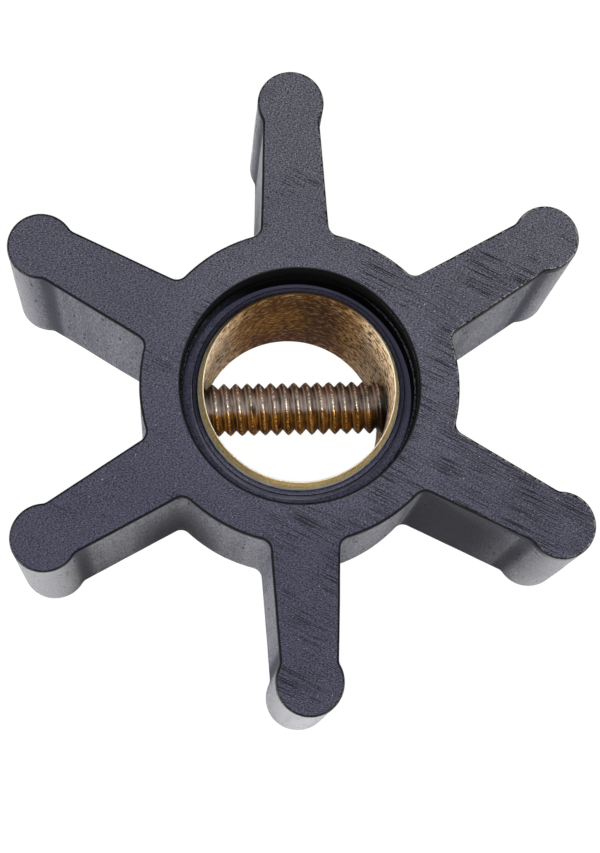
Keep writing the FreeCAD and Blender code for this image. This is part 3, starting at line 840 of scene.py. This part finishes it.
def aged_bronze():
    """Turned bronze from a sea-water pump.

    To the eye its nose is pale gold with painted highlights and shade, and its bore is brown above, with
    patina and painted shade, pale below with painted light, and eaten into short crinkles.
    """
    material, tree = new_material("aged_bronze")
    place = add(tree, "ShaderNodeTexCoord").outputs["Object"]
    parts = add(tree, "ShaderNodeSeparateXYZ", None, {0: place})
    radius = from_axis(tree, place)

    # The bore's wall, unrolled from its top, is eaten into short crinkles that run round it
    angle = add(tree, "ShaderNodeMath", {"operation": "ARCTAN2"}, {
        0: parts.outputs["X"], 1: parts.outputs["Y"]})
    round_bore = add(tree, "ShaderNodeMath", {"operation": "MULTIPLY"}, {0: angle, 1: BORE_RADIUS * MM})
    unrolled = add(tree, "ShaderNodeCombineXYZ", None, {"X": round_bore, "Y": parts.outputs["Z"]})
    crinkles = add(tree, "ShaderNodeTexNoise", None, {
        "Vector": add(tree, "ShaderNodeMapping", {"vector_type": "TEXTURE"}, {
            "Vector": unrolled, "Rotation": (0, 0, math.radians(10)), "Scale": (0.55 * MM, 0.42 * MM, MM)}),
        "Scale": 1.0, "Detail": 2.0, "Distortion": 0.7})
    stain = add(tree, "ShaderNodeTexNoise", None, {"Vector": place, "Scale": per_mm(2.6), "Detail": 4.0})
    pitting = add(tree, "ShaderNodeMapRange", None, {
        "Value": stain, "From Min": 0.36, "From Max": 0.54, "To Min": 0.6})
    deep = add(tree, "ShaderNodeMapRange", None, {"Value": crinkles, "From Min": 0.5, "From Max": 0.43})
    pits = add(tree, "ShaderNodeMath", {"operation": "MULTIPLY"}, {0: deep, 1: pitting})

    # Brown, partly patina and partly painted shade, covers the upper side of the bore, darkest near its ends
    # and in a streak right of its top. Below, it turns through gold to a pale cream, which is painted light.
    from_top = add(tree, "ShaderNodeMath", {"operation": "ABSOLUTE"}, {
        0: add(tree, "ShaderNodeMath", {"operation": "SUBTRACT"}, {0: round_bore, 1: 0.4 * MM})})
    uneven = add(tree, "ShaderNodeMath", {"operation": "MULTIPLY_ADD"}, {0: stain, 1: 9 * MM, 2: from_top})
    patina_and_shade = add(tree, "ShaderNodeMapRange", {"interpolation_type": "SMOOTHSTEP"}, {
        "Value": uneven, "From Min": 13 * MM, "From Max": 8 * MM})
    front = add(tree, "ShaderNodeMapRange", {"interpolation_type": "SMOOTHSTEP"}, {
        "Value": parts.outputs["Z"], "From Min": 10 * MM, "From Max": 16 * MM})
    rear = add(tree, "ShaderNodeMapRange", {"interpolation_type": "SMOOTHSTEP"}, {
        "Value": parts.outputs["Z"], "From Min": 7 * MM, "From Max": 2 * MM})
    browner = add(tree, "ShaderNodeMix", {"data_type": "RGBA"}, {
        0: front, 6: linear("#A87408"), 7: linear("#5C3A04")})
    brown = add(tree, "ShaderNodeMix", {"data_type": "RGBA"}, {0: rear, 6: browner, 7: linear("#6A3802")})
    tan = add(tree, "ShaderNodeMix", {"data_type": "RGBA"}, {
        0: pitting, 6: linear("#FFF4E0"), 7: linear("#FFE8C4")})
    beside = add(tree, "ShaderNodeMapRange", {"interpolation_type": "SMOOTHSTEP"}, {
        "Value": from_top, "From Min": 8 * MM, "From Max": 4.5 * MM})
    near_front = add(tree, "ShaderNodeMath", {"operation": "MULTIPLY"}, {0: front, 1: 0.3})
    golden = add(tree, "ShaderNodeMath", {"operation": "MAXIMUM"}, {0: beside, 1: near_front})
    gilt_in_painted_light = add(tree, "ShaderNodeMix", {"data_type": "RGBA"}, {0: golden, 6: tan, 7: linear("#ECC484")})
    off_streak = add(tree, "ShaderNodeMath", {"operation": "ABSOLUTE"}, {
        0: add(tree, "ShaderNodeMath", {"operation": "SUBTRACT"}, {0: round_bore, 1: 3.0 * MM})})
    shade_streak = add(tree, "ShaderNodeMapRange", {"interpolation_type": "SMOOTHSTEP"}, {
        "Value": off_streak, "From Min": 2.6 * MM, "From Max": 0.8 * MM, "To Max": 0.8})
    browned = add(tree, "ShaderNodeMix", {"data_type": "RGBA"}, {0: shade_streak, 6: brown, 7: linear("#4C2C08")})
    toned = add(tree, "ShaderNodeMix", {"data_type": "RGBA"}, {0: patina_and_shade, 6: gilt_in_painted_light, 7: browned})
    # Pale ridges on the crinkles are painted highlights
    ridge_highlights = add(tree, "ShaderNodeMapRange", None, {
        "Value": crinkles, "From Min": 0.54, "From Max": 0.64, "To Max": 0.5})
    highlighted = add(tree, "ShaderNodeMix", {"data_type": "RGBA"}, {0: ridge_highlights, 6: toned, 7: linear("#E8C084")})
    eaten = add(tree, "ShaderNodeMix", {"data_type": "RGBA"}, {0: pits, 6: highlighted, 7: linear("#4A2C10")})

    # The nose is pale gold, with painted highlights at its lip and outer edge, and painted shade on the slope
    # behind the lip. Round its upper side it is painted brown, as shade.
    narrow = add(tree, "ShaderNodeMath", {"operation": "LESS_THAN"}, {
        0: radius, 1: (BORE_RADIUS + 0.04) * MM})
    below = add(tree, "ShaderNodeMath", {"operation": "LESS_THAN"}, {
        0: parts.outputs["Z"], 1: (NOSE_Z - 0.15) * MM})
    in_bore = add(tree, "ShaderNodeMath", {"operation": "MULTIPLY"}, {0: narrow, 1: below})
    fleck = add(tree, "ShaderNodeTexNoise", None, {"Vector": place, "Scale": per_mm(0.16), "Detail": 2.0})
    bright = add(tree, "ShaderNodeMapRange", None, {"Value": fleck, "From Min": 0.35, "From Max": 0.65})
    gold = add(tree, "ShaderNodeMix", {"data_type": "RGBA"}, {
        0: bright, 6: linear("#E8B868"), 7: linear("#FFF0B8")})
    slope = add(tree, "ShaderNodeMapRange", None, {
        "Value": radius, "From Min": (BORE_RADIUS + 0.24) * MM, "From Max": (BORE_RADIUS + 0.14) * MM})
    olive = add(tree, "ShaderNodeMix", {"data_type": "RGBA"}, {0: slope, 6: gold, 7: linear("#CCA868")})
    lip = add(tree, "ShaderNodeMath", {"operation": "LESS_THAN"}, {0: radius, 1: (BORE_RADIUS + 0.08) * MM})
    outer = add(tree, "ShaderNodeMath", {"operation": "GREATER_THAN"}, {
        0: radius, 1: (NECK_RADIUS - 0.12) * MM})
    edges = add(tree, "ShaderNodeMath", {"operation": "MAXIMUM"}, {0: lip, 1: outer})
    nose_highlights = add(tree, "ShaderNodeMix", {"data_type": "RGBA"}, {0: edges, 6: olive, 7: linear("#FFF6E0")})
    rubbed_and_lit = add(tree, "ShaderNodeMapRange", {"interpolation_type": "SMOOTHSTEP"}, {
        "Value": parts.outputs["Y"], "From Min": 7.5 * MM, "From Max": 2 * MM})
    nose = add(tree, "ShaderNodeMix", {"data_type": "RGBA"}, {0: rubbed_and_lit, 6: linear("#543C22"), 7: nose_highlights})
    colour = add(tree, "ShaderNodeMix", {"data_type": "RGBA"}, {0: in_bore, 6: nose, 7: eaten})
    metal = add(tree, "ShaderNodeMapRange", None, {"Value": in_bore, "To Min": 0.1, "To Max": 0.25})
    rough = add(tree, "ShaderNodeMapRange", None, {"Value": in_bore, "To Min": 0.45, "To Max": 0.55})
    sunk = add(tree, "ShaderNodeMath", {"operation": "MULTIPLY_ADD"}, {0: pits, 1: -0.6, 2: crinkles})
    height = add(tree, "ShaderNodeMix", {"data_type": "FLOAT"}, {0: in_bore, 2: fleck, 3: sunk})
    bump = add(tree, "ShaderNodeBump", None, {"Height": height, "Strength": 0.9, "Distance": 0.3 * MM})
    use_shader(tree, add(tree, "ShaderNodeBsdfPrincipled", None, {
        "Base Color": colour, "Metallic": metal, "Roughness": rough, "Specular IOR Level": 0.15,
        "Specular Tint": linear("#D89848"), "Normal": bump}))
    return material


def rusty_steel():
    """Threaded steel that has stood in sea water.

    To the eye a grey band, partly wear and partly painted reflection, with painted glints, runs between brown
    and golden rust.
    """
    material, tree = new_material("rusty_steel")
    place = add(tree, "ShaderNodeTexCoord").outputs["Object"]
    parts = add(tree, "ShaderNodeSeparateXYZ", None, {0: place})
    height = add(tree, "ShaderNodeMath", {"operation": "SUBTRACT"}, {0: parts.outputs["Z"], 1: SCREW_Z * MM})
    blotch = add(tree, "ShaderNodeTexNoise", None, {"Vector": place, "Scale": per_mm(1.2), "Detail": 4.0})
    fine = add(tree, "ShaderNodeTexNoise", None, {"Vector": place, "Scale": per_mm(0.18), "Detail": 2.0})

    # Where a point lies on the thread: 0 on the crest, and 0.5 in the root on either side of it
    turn = add(tree, "ShaderNodeMath", {"operation": "ARCTAN2"}, {0: height, 1: parts.outputs["Y"]})
    lead = add(tree, "ShaderNodeMath", {"operation": "MULTIPLY"}, {0: turn, 1: -1 / (2 * math.pi)})
    phase = add(tree, "ShaderNodeMath", {"operation": "MULTIPLY_ADD"}, {
        0: parts.outputs["X"], 1: 1 / (THREAD_PITCH * MM), 2: lead})
    wavy = add(tree, "ShaderNodeMath", {"operation": "MULTIPLY_ADD"}, {0: blotch, 1: 0.16, 2: phase})
    wavier = add(tree, "ShaderNodeMath", {"operation": "SUBTRACT"}, {0: wavy, 1: 0.08})
    crest = add(tree, "ShaderNodeMapRange", None, {
        "Value": add(tree, "ShaderNodeMath", {"operation": "PINGPONG"}, {0: wavier, 1: 0.5}),
        "From Min": 0.12, "From Max": 0.04})
    beside = add(tree, "ShaderNodeMath", {"operation": "ADD"}, {0: wavier, 1: 0.32})
    line = add(tree, "ShaderNodeMapRange", None, {
        "Value": add(tree, "ShaderNodeMath", {"operation": "PINGPONG"}, {0: beside, 1: 0.5}),
        "From Min": 0.07, "From Max": 0.02, "To Max": 0.55})
    across = add(tree, "ShaderNodeMath", {"operation": "ADD"}, {0: wavier, 1: 0.5})
    root = add(tree, "ShaderNodeMapRange", None, {
        "Value": add(tree, "ShaderNodeMath", {"operation": "PINGPONG"}, {0: across, 1: 0.5}),
        "From Min": 0.08, "From Max": 0.02, "To Max": 0.6})

    # Streaks run along the thread, and rust lies in patches
    drawn = add(tree, "ShaderNodeCombineXYZ", None, {
        "X": add(tree, "ShaderNodeMath", {"operation": "MULTIPLY"}, {0: wavier, 1: 6.0}), "Y": turn})
    streaks = add(tree, "ShaderNodeTexNoise", None, {"Vector": drawn, "Scale": 1.0, "Detail": 2.0})
    uneven = add(tree, "ShaderNodeMix", {"data_type": "FLOAT"}, {0: 0.55, 2: blotch, 3: streaks})
    patchy = add(tree, "ShaderNodeMapRange", None, {"Value": uneven, "From Min": 0.4, "From Max": 0.6})
    # A grey band along the middle is partly worn steel and partly a painted reflection of the light above
    ragged = add(tree, "ShaderNodeMath", {"operation": "MULTIPLY_ADD"}, {
        0: uneven, 1: 2.4 * MM, 2: parts.outputs["Y"]})
    low_side = add(tree, "ShaderNodeMapRange", {"interpolation_type": "SMOOTHSTEP"}, {
        "Value": ragged, "From Min": 0.9 * MM, "From Max": 0.3 * MM})
    high_side = add(tree, "ShaderNodeMapRange", {"interpolation_type": "SMOOTHSTEP"}, {
        "Value": ragged, "From Min": 1.6 * MM, "From Max": 2.8 * MM})
    grey = add(tree, "ShaderNodeMix", {"data_type": "RGBA"}, {
        0: patchy, 6: linear("#5C4E44"), 7: linear("#ACA098")})
    golden = add(tree, "ShaderNodeMix", {"data_type": "RGBA"}, {
        0: patchy, 6: linear("#221104"), 7: linear("#94601C")})
    brown = add(tree, "ShaderNodeMix", {"data_type": "RGBA"}, {
        0: patchy, 6: linear("#3A220E"), 7: linear("#84583A")})
    lower = add(tree, "ShaderNodeMix", {"data_type": "RGBA"}, {0: low_side, 6: grey, 7: golden})
    base = add(tree, "ShaderNodeMix", {"data_type": "RGBA"}, {0: high_side, 6: lower, 7: brown})
    dirty = add(tree, "ShaderNodeMix", {"data_type": "RGBA"}, {0: root, 6: base, 7: linear("#1C0E06")})

    # Painted glints stand in a dotted row along each crest, and a fainter painted highlight runs beside it
    glint_dots = add(tree, "ShaderNodeMapRange", None, {"Value": fine, "From Min": 0.46, "From Max": 0.56})
    dotted = add(tree, "ShaderNodeMath", {"operation": "MULTIPLY"}, {0: crest, 1: glint_dots})
    bright = add(tree, "ShaderNodeMath", {"operation": "MAXIMUM"}, {0: dotted, 1: line})
    glint = add(tree, "ShaderNodeMix", {"data_type": "RGBA"}, {
        0: low_side, 6: linear("#E4DCD6"), 7: linear("#E0B060")})
    lined = add(tree, "ShaderNodeMix", {"data_type": "RGBA"}, {0: bright, 6: dirty, 7: glint})

    # The ends are painted black as the shade where they go into the bush, reaching further at the lower right
    # and at the upper left
    right_end = add(tree, "ShaderNodeMapRange", None, {
        "Value": add(tree, "ShaderNodeMath", {"operation": "MULTIPLY_ADD"}, {
            0: parts.outputs["Y"], 1: -0.5, 2: parts.outputs["X"]}),
        "From Min": 7.0 * MM, "From Max": 8.2 * MM, "To Max": 0.9})
    left_end = add(tree, "ShaderNodeMapRange", None, {
        "Value": add(tree, "ShaderNodeMath", {"operation": "MULTIPLY_ADD"}, {
            0: parts.outputs["Y"], 1: -0.6, 2: parts.outputs["X"]}),
        "From Min": -8.0 * MM, "From Max": -8.6 * MM, "To Max": 0.9})
    end_shade = add(tree, "ShaderNodeMath", {"operation": "MAXIMUM"}, {0: right_end, 1: left_end})
    colour = add(tree, "ShaderNodeMix", {"data_type": "RGBA"}, {0: end_shade, 6: lined, 7: linear("#0E0806")})
    metal = add(tree, "ShaderNodeMapRange", None, {"Value": bright, "To Min": 0.3, "To Max": 0.6})
    rough = add(tree, "ShaderNodeMapRange", None, {"Value": bright, "To Min": 0.48, "To Max": 0.35})
    bump = add(tree, "ShaderNodeBump", None, {"Height": fine, "Strength": 0.5, "Distance": 0.06 * MM})
    use_shader(tree, add(tree, "ShaderNodeBsdfPrincipled", None, {
        "Base Color": colour, "Metallic": metal, "Roughness": rough, "Normal": bump}))
    return material


def studio_floor():
    """A white floor that keeps a faint shadow, and that rubber and metal reflect only dimly."""
    material, tree = new_material("white_floor")
    rays = add(tree, "ShaderNodeLightPath")
    seen = add(tree, "ShaderNodeMath", {"operation": "MAXIMUM"}, {
        0: rays.outputs["Is Camera Ray"], 1: rays.outputs["Is Transmission Ray"]})
    paper = add(tree, "ShaderNodeBsdfDiffuse", None, {"Color": linear("#E6E6E6")})
    white = add(tree, "ShaderNodeEmission", None, {"Color": linear("#FFFFFF"), "Strength": FLOOR_WHITE})
    share = add(tree, "ShaderNodeMath", {"operation": "MULTIPLY"}, {0: seen, 1: FLOOR_GLOW})
    mirrored = add(tree, "ShaderNodeMath", {"operation": "MULTIPLY_ADD"}, {
        0: rays.outputs["Is Glossy Ray"], 1: REFLECTED_GLOW, 2: share})
    use_shader(tree, add(tree, "ShaderNodeMixShader", None, {0: mirrored, 1: paper, 2: white}))
    size = FLOOR_SIZE * MM
    corners = [(-size, -size, 0), (size, -size, 0), (size, size, 0), (-size, size, 0)]
    mesh = bpy.data.meshes.new("floor")
    mesh.from_pydata(corners, [], [(0, 1, 2, 3)])
    mesh.materials.append(material)
    floor = new_object("floor", mesh)


def place_lamp(data, place, aim):
    """Put a lamp at a place in millimetres, turned towards another, and hide it from the camera."""
    lamp = new_object(data.name, data)
    lamp.location = Vector(place) * MM
    lamp.rotation_euler = (Vector(aim) * MM - lamp.location).to_track_quat("-Z", "Y").to_euler()
    lamp.visible_camera = False


def studio_light():
    """Soft boxes round the part, and an even pale surround that shows white behind it."""
    world = bpy.data.worlds.new("surround")
    bpy.context.scene.world = world
    world.use_nodes = True
    tree = world.node_tree
    tree.nodes.clear()
    rays = add(tree, "ShaderNodeLightPath")
    strength = add(tree, "ShaderNodeMix", {"data_type": "FLOAT"}, {
        0: rays.outputs["Is Camera Ray"], 2: SURROUND, 3: 1.0})
    sky = add(tree, "ShaderNodeBackground", None, {"Color": linear("#FFFFFF"), "Strength": strength})
    add(tree, "ShaderNodeOutputWorld", None, {"Surface": sky})
    for name, (place, size, power) in SOFT_BOXES.items():
        data = bpy.data.lights.new(name, "AREA")
        data.shape = "SQUARE"
        data.size = size * MM
        data.energy = power
        place_lamp(data, place, (0, 0, 0))

    # A narrow lamp lights the recess and the bore, where the boxes hardly reach
    aim = (0, 0, COLLAR_Z)
    data = bpy.data.lights.new("recess_lamp", "SPOT")
    data.spot_size = 2 * math.atan(SNOOT_REACH / math.dist(SNOOT_PLACE, aim))
    data.spot_blend = SNOOT_BLUR
    data.shadow_soft_size = SNOOT_SIZE * MM
    data.energy = SNOOT_POWER
    place_lamp(data, SNOOT_PLACE, aim)


def camera():
    """The photograph's viewpoint: nearly straight down on the front face, from the lower vanes' side."""
    place = Vector(CAMERA_PLACE) * MM
    forward = (Vector(CAMERA_TARGET) * MM - place).normalized()
    right = forward.cross(Vector((0, 1, 0))).normalized()
    level = Matrix((right, right.cross(forward), -forward)).transposed()
    data = bpy.data.cameras.new("camera")
    data.lens = CAMERA_LENS
    data.sensor_width = CAMERA_SENSOR
    data.sensor_fit = "HORIZONTAL"
    data.clip_start = 10 * MM
    turned = level @ Matrix.Rotation(math.radians(CAMERA_ROLL), 3, "Z")
    seen = new_object("camera", data)
    seen.matrix_world = Matrix.Translation(place) @ turned.to_4x4()
    bpy.context.scene.camera = seen


camera()
studio_floor()
studio_light()
bpy.context.scene.view_settings.view_transform = "Standard"
pieces = [
    (impeller_body(moulded_rubber(), ground_rubber(), recess_rubber()), "impeller_body", "rubber"),
    (bush(aged_bronze()), "bush", "bronze"),
    (drive_screw(rusty_steel()), "drive_screw", "steel"),
]
for piece, node, slot in pieces:
    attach(piece, "root")
    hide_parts(node)
